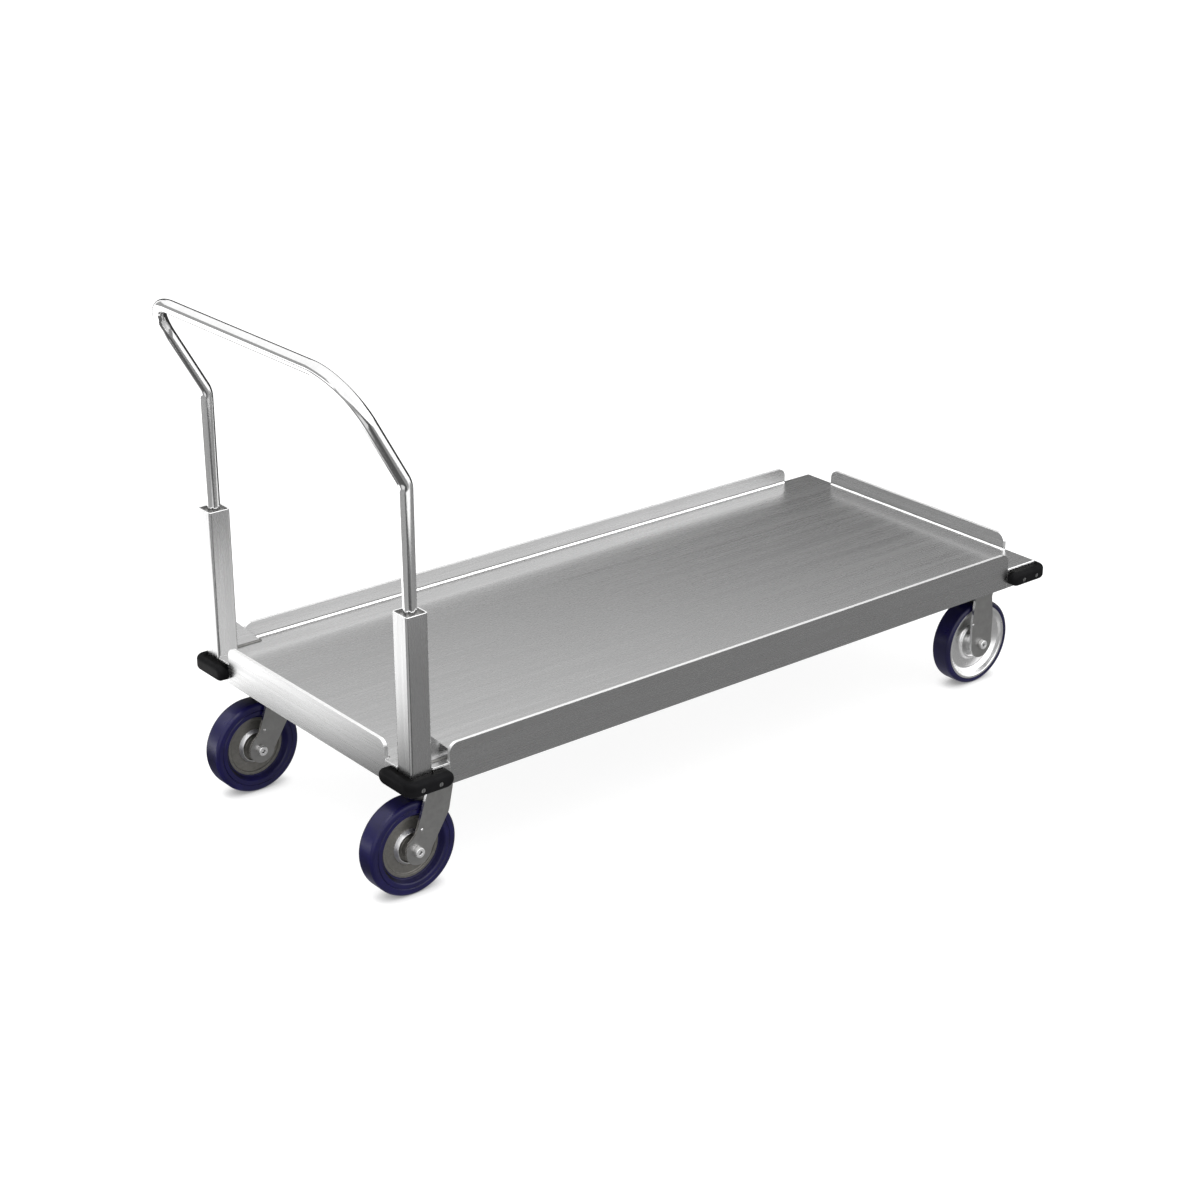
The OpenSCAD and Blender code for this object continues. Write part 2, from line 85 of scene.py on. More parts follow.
# Forks and axles
FORK_HALF_GAP = 0.031
FORK_LEG_T = 0.006
FORK_FACE = FORK_HALF_GAP + FORK_LEG_T
FORK_PLATE_T = 0.008
AXLE_R = 0.00635
SHANK_END = 0.042
AXLE_HOLE_R = 0.0065
AXLE_HEAD_R = 0.0105
AXLE_HEAD_END = 0.047
SOCKET_R = 0.00425

# Half outlines of the wheels' parts in millimetres: (radius, distance from the middle, corner radius)
REAR_CORE = [(15, 30), (22, 30), (22, 12, 2), (30, 12, 1), (32, 17.5, 1), (33.5, 17.5, 1),
             (39, 8.5, 2), (58, 8, 2), (60, 12), (66, 12, 0.5)]
FRONT_CORE = [(15, 30), (23, 30), (23, 11, 2), (36, 11), (37.5, 15), (42, 15), (45, 8, 3),
              (70, 6, 8), (80, 14, 8), (84, 24, 3), (90, 24, 0.5)]
REAR_TREAD = [(66, 12, 0.5), (69, 12, 2), (74, 23, 2), (76, 25), (84, 25, 0.8), (85.5, 23, 0.8),
              (87, 25, 0.8), (94, 25, 3), (97.5, 24, 3), (100.3, 21.5, 3), (101.6, 18, 4)]
FRONT_TREAD = [(90, 25, 0.3), (95.5, 25, 2), (98.5, 23.8, 2), (100.8, 21.5, 2), (101.6, 18, 4)]
OUTLINES = {"rear": (REAR_CORE, REAR_TREAD), "front": (FRONT_CORE, FRONT_TREAD)}
# Radii of each core's bright ring, in metres
HUB_RING = {"rear": (0.031, 0.0385), "front": (0.0365, 0.0435)}

# The studio
SKY = 1.35
# Reach of the floor's painted contact shadow, in metres
CONTACT_SHADOW_REACH = 0.032
CAMERA_LENS = 73.43
CAMERA_TURN = ((0.77715, 0.24286, -0.58057), (-0.62932, 0.29991, -0.71695), (0.0, 0.92255, 0.38591))
CAMERA_FROM_CORNER = (-2.34798, -3.470, 2.109)


# ---------- geometry helpers ----------

def centre(node):
    lo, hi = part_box(node)
    return (lo + hi) / 2


def span(node):
    lo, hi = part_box(node)
    return hi - lo


def axes(origin, x, y):
    """The matrix that puts local x and y along two directions of the row frame."""
    m = Matrix((x, y, x.cross(y))).transposed().to_4x4()
    m.translation = origin
    return m


def arc(centre_at, radius, start, end, steps):
    """Points on an arc in a plane, angles in degrees."""
    out = []
    for i in range(steps + 1):
        a = math.radians(start + (end - start) * i / steps)
        out.append((centre_at[0] + radius * math.cos(a), centre_at[1] + radius * math.sin(a)))
    return out


def rounded(points, steps=6):
    """A closed outline whose corners, given as (x, y, radius), are rounded."""
    out = []
    n = len(points)
    for i, p in enumerate(points):
        at = Vector(p[:2])
        radius = p[2] if len(p) > 2 else 0
        before, after = Vector(points[i - 1][:2]) - at, Vector(points[(i + 1) % n][:2]) - at
        turn = before.angle(after)
        if radius <= 0 or turn > math.pi - 0.02:
            out.append(tuple(at))
            continue
        back = min(radius / math.tan(turn / 2), before.length * 0.49, after.length * 0.49)
        r = back * math.tan(turn / 2)
        middle = at + (before.normalized() + after.normalized()).normalized() * (r / math.sin(turn / 2))
        a, b = at + before.normalized() * back, at + after.normalized() * back
        a0 = math.atan2(a.y - middle.y, a.x - middle.x)
        a1 = math.atan2(b.y - middle.y, b.x - middle.x)
        d = (a1 - a0 + math.pi) % (2 * math.pi) - math.pi
        for k in range(steps + 1):
            t = a0 + d * k / steps
            out.append((middle.x + r * math.cos(t), middle.y + r * math.sin(t)))
    return out


def rectangle(half_x, half_y, r, steps=6):
    """A rectangle round the origin with rounded corners."""
    return rounded([(-half_x, -half_y, r), (half_x, -half_y, r), (half_x, half_y, r), (-half_x, half_y, r)],
                   steps)


def mesh_object(name, bm):
    """Turns a finished bmesh into an object in the scene."""
    mesh = bpy.data.meshes.new(name)
    bmesh.ops.recalc_face_normals(bm, faces=bm.faces)
    bm.to_mesh(mesh)
    bm.free()
    obj = bpy.data.objects.new(name, mesh)
    bpy.context.scene.collection.objects.link(obj)
    return obj


def add_plate(bm, loops, depth, place, rim=1):
    """A flat plate from one outline and its holes, its rim faces in material place rim."""
    edges, made = [], []
    for loop in loops:
        vs = [bm.verts.new((p[0], p[1], 0)) for p in loop]
        made += vs
        edges += [bm.edges.new((vs[i], vs[(i + 1) % len(vs)])) for i in range(len(vs))]
    faces = [f for f in bmesh.ops.triangle_fill(bm, edges=edges, use_beauty=True)["geom"]
             if isinstance(f, bmesh.types.BMFace)]
    top = bmesh.ops.extrude_face_region(bm, geom=faces, use_keep_orig=True)["geom"]
    tops = [v for v in top if isinstance(v, bmesh.types.BMVert)]
    bmesh.ops.translate(bm, vec=(0, 0, depth), verts=tops)
    both = set(made) | set(tops)
    for f in {f for v in both for f in v.link_faces}:
        f.material_index = 0 if len({round(v.co.z, 6) for v in f.verts}) == 1 else rim
    bmesh.ops.transform(bm, matrix=place, verts=list(both))
    return list(both)


def add_lathe(bm, profile, place, segments=96, index=0):
    """A closed profile of (radius, height) points turned about local +Z."""
    rings = []
    for r, h in profile:
        ring = []
        for i in range(segments):
            a = 2 * math.pi * i / segments
            ring.append(bm.verts.new(place @ Vector((r * math.cos(a), r * math.sin(a), h))))
        rings.append(ring)
    for j, ring in enumerate(rings):
        nxt = rings[(j + 1) % len(rings)]
        for i in range(segments):
            k = (i + 1) % segments
            f = bm.faces.new((ring[i], ring[k], nxt[k], nxt[i]))
            f.material_index = index


def add_sweep(bm, sections, closed_ends=True, marked=()):
    """Skins rings of the same number of points, with the marked strips in the second material."""
    rings = [[bm.verts.new(p) for p in s] for s in sections]
    n = len(rings[0])
    for a, b in zip(rings, rings[1:]):
        for i in range(n):
            k = (i + 1) % n
            f = bm.faces.new((a[i], a[k], b[k], b[i]))
            f.material_index = int(i in marked)
    if closed_ends:
        bm.faces.new(rings[0])
        bm.faces.new(rings[-1])
    return rings


def add_bead(bm, start, end, side_a, side_b, size):
    """A weld bead with slight ripples in the corner between two faces, its toes in the second material."""
    n = max(8, int((end - start).length / RIPPLE))
    clear = 0.0004
    sections = []
    for i in range(n + 1):
        swell = size * (1 + 0.08 * math.sin(i * 2.1) + 0.05 * math.sin(i * 0.37))
        if i in (0, n):
            swell *= 0.55
        at = start.lerp(end, i / n)
        ring = [at, at + side_a * (swell + WELD_TOE)]
        for k in range(6):
            a = math.pi / 2 * k / 5
            reach = swell * (1 - 0.16 * math.sin(2 * a))
            ring.append(at + side_a * (reach * math.cos(a) + clear)
                        + side_b * (reach * math.sin(a) + clear))
        ring.append(at + side_b * (swell + WELD_TOE))
        sections.append(ring)
    add_sweep(bm, sections, marked=(1, 7))


def soften(obj, width, segments=2, edge_index=None, angle=35):
    """Small rounded edges, in their own material where edge_index says so."""
    mod = obj.modifiers.new("edges", "BEVEL")
    mod.width = width
    mod.segments = segments
    mod.limit_method = "ANGLE"
    mod.angle_limit = math.radians(angle)
    mod.use_clamp_overlap = True
    if edge_index is not None:
        mod.material = edge_index
    return obj


def shade(obj, angle=35):
    """Smooth shading with flat faces kept flat."""
    obj.data.shade_smooth()
    obj.data.set_sharp_from_angle(angle=math.radians(angle))
    mod = obj.modifiers.new("normals", "WEIGHTED_NORMAL")
    mod.keep_sharp = False
    mod.weight = 80
    return obj


def cut(obj, cutters):
    """Takes the cutters' shapes out of obj and removes them."""
    for c in cutters:
        mod = obj.modifiers.new("cut", "BOOLEAN")
        mod.operation = "DIFFERENCE"
        mod.solver = "EXACT"
        mod.object = c
        with bpy.context.temp_override(object=obj, active_object=obj):
            bpy.ops.object.modifier_apply(modifier=mod.name)
        bpy.data.objects.remove(c)


def put(obj, body, materials, replaces=()):
    """Gives a piece its materials and its body, and hides the CAD nodes it stands for."""
    for m in materials:
        obj.data.materials.append(m)
    if replaces:
        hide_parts(*replaces)
    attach(obj, body)
    return obj


# ---------- materials ----------

class Graph:
    """A material's node tree with short ways to add to it."""

    def __init__(self, name):
        self.material = bpy.data.materials.new(name)
        self.material.use_nodes = True
        self.tree = self.material.node_tree
        self.shader = self.tree.nodes["Principled BSDF"]
        self.coord = self.tree.nodes.new("ShaderNodeTexCoord").outputs["Object"]

    def add(self, kind, inputs=(), **settings):
        node = self.tree.nodes.new(kind)
        for k, v in settings.items():
            setattr(node, k, v)
        for k, v in dict(inputs).items():
            if isinstance(v, bpy.types.NodeSocket):
                self.tree.links.new(v, node.inputs[k])
            else:
                node.inputs[k].default_value = v
        return node

    def noise(self, stretch, detail=3.0, rough=0.55, distortion=0.0):
        """Noise with that many cells in each metre of X, Y and Z."""
        mapping = self.add("ShaderNodeMapping", {"Vector": self.coord, "Scale": stretch})
        node = self.add("ShaderNodeTexNoise", {
            "Vector": mapping.outputs[0], "Scale": 1.0, "Detail": detail,
            "Roughness": rough, "Distortion": distortion})
        return node.outputs["Fac"]

    def spread(self, value, low, high, out_low=0.0, out_high=1.0):
        node = self.add("ShaderNodeMapRange", {
            "Value": value, "From Min": low, "From Max": high, "To Min": out_low, "To Max": out_high})
        return node.outputs["Result"]

    def math(self, operation, a, b):
        return self.add("ShaderNodeMath", {0: a, 1: b}, operation=operation).outputs[0]

    def mix(self, factor, a, b, blend="MIX"):
        node = self.add("ShaderNodeMix", data_type="RGBA", blend_type=blend)
        for socket, v in ((node.inputs[0], factor), (node.inputs[6], a), (node.inputs[7], b)):
            if isinstance(v, bpy.types.NodeSocket):
                self.tree.links.new(v, socket)
            else:
                socket.default_value = v
        return node.outputs[2]

    def wear(self, radius):
        """1 on the edges and 0 on the faces."""
        bevel = self.add("ShaderNodeBevel", {"Radius": radius}, samples=4)
        normal = self.add("ShaderNodeNewGeometry").outputs["Normal"]
        dot = self.add("ShaderNodeVectorMath", {0: bevel.outputs[0], 1: normal}, operation="DOT_PRODUCT")
        return self.spread(dot.outputs["Value"], 0.995, 0.93)

    def paint_rim_shade(self, start, end, value):
        """Painted shade: darkens the colour and the specular tint where the surface turns away from the
        view, but not underneath.
        """
        facing = self.add("ShaderNodeLayerWeight", {"Blend": 0.5}).outputs["Facing"]
        turned = self.spread(facing, start, end)
        normal = self.add("ShaderNodeSeparateXYZ", {0: self.add("ShaderNodeNewGeometry").outputs["Normal"]})
        factor = self.math("MULTIPLY", turned, self.spread(normal.outputs["Z"], -0.5, -0.1))
        socket = self.shader.inputs["Base Color"]
        self.set(Base_Color=self.mix(factor, socket.links[0].from_socket, grey(value)),
                 Specular_Tint=self.mix(factor, grey(1.0), grey(value)))

    def bump(self, height, strength, distance):
        node = self.add("ShaderNodeBump", {"Height": height, "Strength": strength, "Distance": distance})
        self.tree.links.new(node.outputs[0], self.shader.inputs["Normal"])

    def set(self, **values):
        for k, v in values.items():
            socket = self.shader.inputs[k.replace("_", " ")]
            if isinstance(v, bpy.types.NodeSocket):
                self.tree.links.new(v, socket)
            else:
                socket.default_value = v


def grey(v):
    return (v, v, v, 1.0)


def brushed(name, base, rough, stretch, tone=0.10, bump=0.10, warm=0.0):
    """Metal with a grain: stretch gives the grain's cells in each metre."""
    g = Graph(name)
    fine = g.noise(stretch, detail=4.0, rough=0.65)
    broad = g.noise(tuple(max(s / 9, 0.6) for s in stretch), detail=2.0)
    cloud = g.noise((4.5, 4.5, 4.5), detail=3.0)
    tint = (base, base * (1 - 0.3 * warm), base * (1 - warm), 1.0)
    dark, light, clouded = (tuple(min(1.0, c * k) for c in tint[:3]) + (1.0,)
                            for k in (1 - tone, 1 + tone, 0.94))
    grain = g.math("ADD", g.math("MULTIPLY", fine, 0.6), g.math("MULTIPLY", broad, 0.4))
    colour = g.mix(g.spread(grain, 0.36, 0.64), dark, light)
    colour = g.mix(g.spread(cloud, 0.40, 0.75, 0.0, 0.35), colour, clouded)
    g.set(Base_Color=colour, Metallic=1.0,
          Roughness=g.spread(grain, 0.3, 0.7, rough + 0.05, rough - 0.05))
    g.bump(fine, bump, 0.0002)
    return g


def stainless(name, along):
    """Brushed stainless sheet with its grain along one axis."""
    stretch = [5 if axis == along else 420 for axis in "XYZ"]
    return brushed(name, 0.465, 0.27, stretch, tone=0.08).material


def bright_edge():
    """Sheared and polished edges of the stainless parts."""
    return brushed("bright_edge", 0.95, 0.40, (90, 90, 90), tone=0.05, bump=0.05).material


def weld_toe():
    """Heat-darkened metal beside a weld."""
    return brushed("weld_toe", 0.16, 0.45, (200, 200, 200), tone=0.25, bump=0.05, warm=0.04).material


def polished_tube():
    """Polished tube with fine marks along it."""
    return brushed("polished_tube", 0.72, 0.13, (160, 160, 9), tone=0.06, bump=0.04).material


def zinc_steel():
    """Dull zinc on the casters' pressed steel."""
    return brushed("zinc_steel", 0.36, 0.38, (60, 60, 60), tone=0.12, bump=0.10, warm=0.02).material


def zinc_edge():
    """Bright worn edges of the zinc-plated parts."""
    return brushed("zinc_edge", 0.85, 0.25, (80, 80, 80), tone=0.08, bump=0.05).material


def fastener():
    """Bright zinc on bolts, nuts and axle ends."""
    return brushed("fastener", 0.92, 0.42, (140, 140, 140), tone=0.08, bump=0.06).material


def screw_metal():
    """Dull screw heads."""
    return brushed("screw_metal", 0.30, 0.45, (160, 160, 160), tone=0.15, bump=0.08).material


def bearing_steel():
    """Ground steel of the bearings and bushings."""
    return brushed("bearing_steel", 0.55, 0.28, (200, 200, 200), tone=0.10, bump=0.05).material


def cast_core():
    """Dull grey casting with a faint olive tone."""
    g = brushed("cast_core", 0.18, 0.46, (130, 130, 130), tone=0.18, bump=0.35, warm=0.10)
    g.set(Metallic=0.75)
    return g.material


def dished_core():
    """Satin plated pressing."""
    return brushed("dished_core", 0.80, 0.30, (150, 150, 150), tone=0.08, bump=0.06).material


def rubber(name, colour, rough, sheen, grain):
    """Moulded rubber, dusty on its worn edges, with painted shade where it turns away from the view."""
    g = Graph(name)
    fine = g.noise((900, 900, 900), detail=2.0)
    broad = g.noise((24, 24, 24), detail=3.0)
    pale = tuple(min(1.0, c * 1.5 + 0.001) for c in colour)
    worn = g.wear(0.0015)
    base = g.mix(g.spread(broad, 0.35, 0.7), colour + (1.0,), pale + (1.0,))
    dusty = tuple(c * 0.9 + 0.008 for c in colour) + (1.0,)
    base = g.mix(g.math("MULTIPLY", worn, 0.5), base, dusty)
    g.set(Base_Color=base, Roughness=g.spread(broad, 0.3, 0.7, rough + 0.06, rough - 0.06),
          Specular_IOR_Level=sheen)
    # Painted shade: the rubber darkens towards its outline as seen from the view
    g.paint_rim_shade(0.45, 0.75, 0.001)
    g.bump(fine, grain, 0.0002)
    return g.material


def bumper_rubber():
    """Matt black rubber of the corner bumpers."""
    return rubber("bumper_rubber", (0.004, 0.004, 0.0045), 0.5, 0.05, 0.25)


def rear_rubber():
    """Dark blue rubber of the swivel casters' treads."""
    return rubber("rear_tread", (0.003, 0.002, 0.034), 0.33, 0.32, 0.12)


def front_rubber():
    """Darker blue rubber of the fixed casters' treads."""
    return rubber("front_tread", (0.003, 0.002, 0.028), 0.31, 0.34, 0.10)


STAINLESS = {a: stainless("stainless_" + a.lower(), a) for a in "XYZ"}
EDGE = bright_edge()
TOE = weld_toe()
TUBE = polished_tube()
ZINC, ZINC_EDGE = zinc_steel(), zinc_edge()
FASTENER = fastener()
BEARING = bearing_steel()
SCREW = screw_metal()
CORE = {"rear": ("cast_core", cast_core()), "front": ("dished_core", dished_core())}
BUMPER = bumper_rubber()
TREAD = {"rear": rear_rubber(), "front": front_rubber()}


# ---------- deck and frame ----------

def cad_piece(node, face, edge=None, width=0.0005, segments=2):
    """Shows a CAD node itself, with softened edges."""
    obj = frame["nodes"][node]
    obj.data.materials.clear()
    obj.data.materials.append(face)
    obj.data.materials.append(edge or face)
    weld = obj.modifiers.new("weld", "WELD")
    weld.merge_threshold = 1e-6
    if width:
        soften(obj, width, segments, edge_index=1)
    mod = obj.modifiers.new("normals", "WEIGHTED_NORMAL")
    mod.weight = 80
    return obj


def rail(node, along):
    """A flat bar on edge with rounded upper corners."""
    lo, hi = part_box(node)
    size = hi - lo
    length = size.x if along == "X" else size.y
    outline = rounded([(0, 0, 0.001), (length, 0, 0.001), (length, size.z, RAIL_CORNER_R),
                       (0, size.z, RAIL_CORNER_R)], steps=12)
    if along == "X":
        place, depth = axes(Vector((lo.x, hi.y, lo.z)), X, Z), size.y
    else:
        place, depth = axes(lo, Y, Z), size.x
    bm = bmesh.new()
    add_plate(bm, [outline], depth, place)
    obj = mesh_object(node + "_bar", bm)
    soften(obj, RAIL_EDGE_R, 3, edge_index=1)
    shade(obj)
    return put(obj, "deck", [STAINLESS[along], EDGE], [node])


def post(side):
    """A square tube, open at its ends."""
    lo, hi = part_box("post_" + side)
    size = hi - lo
    half, inner = size.x / 2, size.x / 2 - POST_WALL
    loops = [rectangle(half, half, POST_CORNER_R, 8), rectangle(inner, inner, POST_CORNER_R - POST_WALL, 8)]
    bm = bmesh.new()
    add_plate(bm, loops, size.z, Matrix.Translation(((lo.x + hi.x) / 2, (lo.y + hi.y) / 2, lo.z)))
    for f in bm.faces:
        f.material_index = 1 - f.material_index
    obj = mesh_object("post_" + side + "_tube", bm)
    soften(obj, 0.0007, 2, edge_index=1)
    shade(obj)
    return put(obj, "deck", [STAINLESS["Z"], EDGE], ["post_" + side])


def gusset(side):
    """The triangular plate at a post's foot."""
    node = "gusset_" + side
    lo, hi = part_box(node)
    size = hi - lo
    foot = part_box("deck_plate")[1].z - lo.z
    outline = [(0, 0), (size.x, 0), (size.x, foot), (0, size.z)]
    bm = bmesh.new()
    add_plate(bm, [outline], size.y, axes(Vector((lo.x, hi.y, lo.z)), X, Z))
    obj = mesh_object(node + "_plate", bm)
    soften(obj, 0.0006, 2, edge_index=1)
    shade(obj)
    return put(obj, "deck", [STAINLESS["X"], STAINLESS["X"]], [node])


def weld_object(name, runs, size, materials):
    """One piece with a bead along each run: (start, end, one face's direction, the other's)."""
    bm = bmesh.new()
    for start, end, side_a, side_b in runs:
        add_bead(bm, start, end, side_a, side_b, size)
    obj = mesh_object(name, bm)
    shade(obj, 60)
    return put(obj, "deck", materials)


def rail_welds():
    """Beads along the feet of the rails, dark at their toes."""
    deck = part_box("deck_plate")[1].z
    runs = []
    for node, inward in (("rail_right", Y), ("rail_left", -Y), ("rail_rear", X), ("rail_front", -X)):
        lo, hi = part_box(node)
        if inward.y:
            y = hi.y if inward.y > 0 else lo.y
            a, b = Vector((lo.x, y, deck)), Vector((hi.x, y, deck))
        else:
            x = hi.x if inward.x > 0 else lo.x
            a, b = Vector((x, lo.y, deck)), Vector((x, hi.y, deck))
        runs.append((a, b, inward, Z))
    return weld_object("rail_welds", runs, WELD, [EDGE, TOE])


def gusset_welds():
    """Small beads along the gussets' feet and backs."""
    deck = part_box("deck_plate")[1].z
    runs = []
    for side in SIDES:
        g0, g1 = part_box("gusset_" + side)
        for y, out in ((g0.y, -Y), (g1.y, Y)):
            runs.append((Vector((g0.x, y, deck)), Vector((g1.x, y, deck)), out, Z))
            runs.append((Vector((g0.x, y, deck)), Vector((g0.x, y, g1.z - 0.004)), out, X))
    return weld_object("gusset_welds", runs, SMALL_WELD, [TOE, TOE])


def bumper(end, side):
    """A corner bumper: rounded capsule legs joined round the corner, with screw recesses."""
    node = f"bumper_{end}_{side}"
    lo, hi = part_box(node)
    deck_lo, deck_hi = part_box("deck_plate")
    sx = 1 if end == "rear" else -1
    sy = SIGN[side]
    corner = Vector((deck_lo.x if end == "rear" else deck_hi.x,
                     deck_lo.y if side == "right" else deck_hi.y, (lo.z + hi.z) / 2))
    thick = (corner.x - lo.x) if end == "rear" else (hi.x - corner.x)
    leg = (hi.x - lo.x) - thick
    r = (hi.z - lo.z) / 2
    along_x, out_y = X * sx, Y * sy
    along_y, out_x = Y * -sy, X * -sx

    def section(origin, outward, t):
        h = math.sqrt(max(0.0, r * r - (r - t) ** 2)) if t < r else r
        ring = [origin + Z * -h]
        for i in range(17):
            z = h * math.sin(math.pi / 2 * (i / 8 - 1))
            gap = r - math.hypot(max(0.0, r - t), z)
            inset = max(0.0, BUMPER_EDGE_R - max(0.0, gap))
            d = thick - BUMPER_EDGE_R + math.sqrt(max(0.0, BUMPER_EDGE_R ** 2 - inset ** 2))
            ring.append(origin + outward * d + Z * z)
        ring.append(origin + Z * h)
        return ring

    sections = []
    ts = [r * (1 - math.cos(math.radians(a))) for a in (1, 6, 12, 20, 30, 42, 55, 70, 90)]
    straight = [leg * k / 6 for k in (4, 3, 2, 1)]
    for t in ts:
        sections.append(section(corner + along_x * (leg - t), out_y, t))
    for s in straight:
        sections.append(section(corner + along_x * s, out_y, leg - s))
    for k in range(9):
        a = math.pi / 2 * k / 8
        sections.append(section(corner, out_y * math.cos(a) + out_x * math.sin(a), leg))
    for s in reversed(straight):
        sections.append(section(corner + along_y * s, out_x, leg - s))
    for t in reversed(ts):
        sections.append(section(corner + along_y * (leg - t), out_x, t))
    bm = bmesh.new()
    add_sweep(bm, sections)
    bmesh.ops.remove_doubles(bm, verts=bm.verts, dist=1e-6)
    obj = mesh_object(node + "_moulding", bm)
    z = centre("bumper_screws").z
    cutters = []
    for at in SCREW_AT:
        base = corner + along_x * at + out_y * (thick - RECESS_DEPTH)
        base.z = z
        cbm = bmesh.new()
        bmesh.ops.create_cone(
            cbm, cap_ends=True, segments=32, radius1=RECESS_R, radius2=RECESS_R, depth=0.01)
        bmesh.ops.transform(cbm, matrix=axes(base + out_y * 0.005, X, Z if sy < 0 else -Z), verts=cbm.verts)
        cutters.append(mesh_object("cutter", cbm))
    cut(obj, cutters)
    shade(obj, 50)
    return put(obj, "deck", [BUMPER], [node])


# ---------- handle ----------

def handle():
    """The bent tube, swept along its centreline as one hollow run."""
    lo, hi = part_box("handle_tube")
    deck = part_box("deck_plate")[1].z
    post_x = centre("post_right").x
    radius = hi.x - post_x
    post_y = centre("post_left").y
    knee_z, bar_z = deck + KNEE_HEIGHT, deck + CROSSBAR_HEIGHT
    up = Vector((-math.sin(LEAN), 0, math.cos(LEAN)))
    knee = Vector((post_x, post_y, knee_z))
    top = knee + up * ((bar_z - knee_z) / math.cos(LEAN))

    def bend(at, before, after, r, steps):
        """Points of a bend between two directions that meet at a corner."""
        turn = before.angle(after)
        back = r * math.tan(turn / 2)
        inward = (after - before * before.dot(after)).normalized()
        middle = at - before * back + inward * r
        pts = []
        for i in range(steps + 1):
            a = turn * i / steps
            pts.append((middle - inward * (r * math.cos(a)) + before * (r * math.sin(a)),
                        (before * math.cos(a) + inward * math.sin(a)).normalized()))
        return pts

    run = [(Vector((post_x, post_y, lo.z)), Z)]
    run += bend(knee, Z, up, KNEE_R, 14)
    run += bend(top, up, -Y, GRIP_R, 28)
    run += [(Vector((top.x, 0, top.z)), -Y)]
    mirror = [(Vector((p.x, -p.y, p.z)), Vector((-d.x, d.y, -d.z))) for p, d in reversed(run[:-1])]
    run += mirror
    n = 48
    side = X
    sections = {TUBE_WALL: [], 0.0: []}
    for p, d in run:
        side = (side - d * side.dot(d)).normalized()
        other = d.cross(side)
        for inset in sections:
            r = radius - inset
            sections[inset].append([p + side * (r * math.cos(a)) + other * (r * math.sin(a))
                                    for a in (2 * math.pi * i / n for i in range(n))])
    bm = bmesh.new()
    outer = add_sweep(bm, sections[0.0], closed_ends=False)
    inner = add_sweep(bm, sections[TUBE_WALL], closed_ends=False)
    for a, b in ((outer[0], inner[0]), (outer[-1], inner[-1])):
        for i in range(n):
            k = (i + 1) % n
            bm.faces.new((a[i], a[k], b[k], b[i])).material_index = 1
    obj = mesh_object("handle_bent_tube", bm)
    soften(obj, 0.0004, 2, edge_index=1, angle=60)
    shade(obj, 50)
    return put(obj, "handle", [TUBE, EDGE], ["handle_tube"])


# ---------- wheels ----------

def wheel_place(at):
    """Local +Z along the axle, which runs along +Y."""
    return axes(at, Z, X)


def mirrored(half, radius=0.0012):
    """A closed lathe outline from its +Y half, corners rounded."""
    points = [(r, h, f[0] if f else radius) for r, h, *f in half]
    other = [(r, -h, f) for r, h, f in reversed(points)]
    return rounded(points + other, steps=4)


def metres(profile):
    """An outline given in millimetres."""
    return [tuple(v / 1000 for v in p) for p in profile]


def brighten_ring(bm, axis_at, radii):
    """Puts the faces between two radii round the axle in the second material."""
    for f in bm.faces:
        at = f.calc_center_median() - axis_at
        if radii[0] < math.hypot(at.x, at.z) < radii[1]:
            f.material_index = 1


def wheel(end, side):
    """A wheel core and its tread, turned from their outlines, with the CAD's bearing."""
    core_node, tread_node = f"{end}_core_{side}", f"{end}_tread_{side}"
    core_outline, tread_outline = OUTLINES[end]
    body = f"{end}_wheel_{side}"
    place = wheel_place(centre(tread_node))
    bm = bmesh.new()
    add_lathe(bm, mirrored(metres(core_outline)), place)
    brighten_ring(bm, centre(tread_node), HUB_RING[end])
    core = mesh_object(core_node + "_casting", bm)
    shade(core, 50)
    slot, metal = CORE[end]
    put(core, body, [metal, EDGE], [core_node])
    bm = bmesh.new()
    add_lathe(bm, mirrored(metres(tread_outline)), place, segments=128)
    tread = mesh_object(tread_node + "_rubber", bm)
    shade(tread, 50)
    put(tread, body, [TREAD[end]], [tread_node])
    cad_piece(f"{end}_bearing_{side}", BEARING)


# ---------- casters ----------

def swivel_leg_outline(trail, axle):
    """A swivel fork's leg from the side, seen from its kingpin, with the axle's hole."""
    lobe = (0.003 - trail, axle)
    top = [(-0.035, 0.218, 0.015), (-0.032, 0.237), (0.030, 0.237), (0.027, 0.216, 0.012),
           (0.017, 0.168, 0.03)]
    round_end = [(x, z, 0) for x, z in arc(lobe, 0.030, -9, -222, 24)]
    back = [(-0.0815, 0.1225, 0.012), (-0.063, 0.138, 0.02)]
    return rounded(top + round_end + back, steps=5), arc((-trail, axle), AXLE_HOLE_R, 0, 345, 23)


def fixed_leg_outline(top_z, axle):
    """A fixed fork's leg from the side, seen from its axle, with the axle's hole."""
    right = [(0.040, top_z), (0.028, 0.215, 0.02), (0.034, 0.165, 0.03)]
    round_end = [(x, z, 0) for x, z in arc((0, axle), 0.033, 0, -180, 24)]
    left = [(-0.034, 0.165, 0.03), (-0.028, 0.215, 0.02), (-0.040, top_z)]
    return rounded(right + round_end + left, steps=5), arc((0, axle), AXLE_HOLE_R, 0, 345, 23)


def add_legs(bm, loops, origin):
    """The two legs of a fork."""
    for y in (-FORK_HALF_GAP, FORK_FACE):
        add_plate(bm, loops, FORK_LEG_T, axes(origin + Y * y, X, Z))


def add_button(bm, at, out, r, h):
    """A low round button on a leg's face."""
    profile = [(0.0002, -0.0005), (r, -0.0005), (r, h * 0.3), (r * 0.8, h * 0.8), (r * 0.4, h), (0.0002, h)]
    place = Matrix.Translation(at) @ out.to_track_quat("Z", "Y").to_matrix().to_4x4()
    add_lathe(bm, profile, place, segments=24, index=1)


